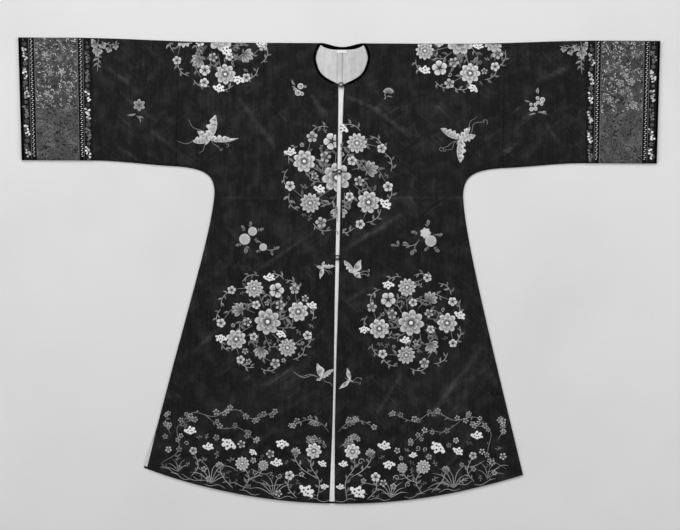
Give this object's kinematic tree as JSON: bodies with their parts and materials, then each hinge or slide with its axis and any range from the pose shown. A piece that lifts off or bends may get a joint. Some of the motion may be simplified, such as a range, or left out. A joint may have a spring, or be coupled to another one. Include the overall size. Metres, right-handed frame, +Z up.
{
  "type": "chinese silk jacket",
  "caption": "Wide-sleeved, collarless embroidered silk jacket with a centre-front opening, laid flat with its front up.",
  "frame": {"origin": "middle of the laid jacket's plan, on the surface that it lies on", "axes": "+X to the wearer's left along the sleeves, +Y to the neck, +Z up out of the front"},
  "size_m": [1.46, 1.0604, 0.0114],
  "materials": {
    "silk": "dark damask silk, soft sheen",
    "lining": "pale plain-weave silk",
    "band": "grey damask, embroidered tone on tone",
    "ribbon": "woven ribbon with pale flowers",
    "braid": "dark edging with a dotted braid",
    "binding": "black silk binding",
    "tape": "plain white cotton tape",
    "cord": "dark twisted silk cord",
    "button": "worn gilt metal ball"
  },
  "bodies": {
    "root": {"back_left": "silk", "lining_left": "lining", "front_left": "silk", "sleeve_front_left": "silk", "sleeve_back_left": "silk", "neck_binding_front_left": "binding", "cuff_edge_front_left": "binding", "cuff_edge_back_left": "binding", "ribbon_outer_front_left": "ribbon", "ribbon_outer_back_left": "ribbon", "braid_outer_front_left": "braid", "braid_outer_back_left": "braid", "band_front_left": "band", "band_back_left": "band", "braid_inner_front_left": "braid", "braid_inner_back_left": "braid", "ribbon_inner_front_left": "ribbon", "ribbon_inner_back_left": "ribbon", "back_right": "silk", "lining_right": "lining", "front_right": "silk", "sleeve_front_right": "silk", "sleeve_back_right": "silk", "neck_binding_front_right": "binding", "cuff_edge_front_right": "binding", "cuff_edge_back_right": "binding", "ribbon_outer_front_right": "ribbon", "ribbon_outer_back_right": "ribbon", "braid_outer_front_right": "braid", "braid_outer_back_right": "braid", "band_front_right": "band", "band_back_right": "band", "braid_inner_front_right": "braid", "braid_inner_back_right": "braid", "ribbon_inner_front_right": "ribbon", "ribbon_inner_back_right": "ribbon", "neck_binding_back": "binding", "neck_tape": "tape", "button_neck": "button", "loop_neck": "cord", "stem_neck": "cord", "button_chest": "button", "loop_chest": "cord", "stem_chest": "cord", "button_waist": "button", "loop_waist": "cord", "stem_waist": "cord"}
  },
  "joints": []
}
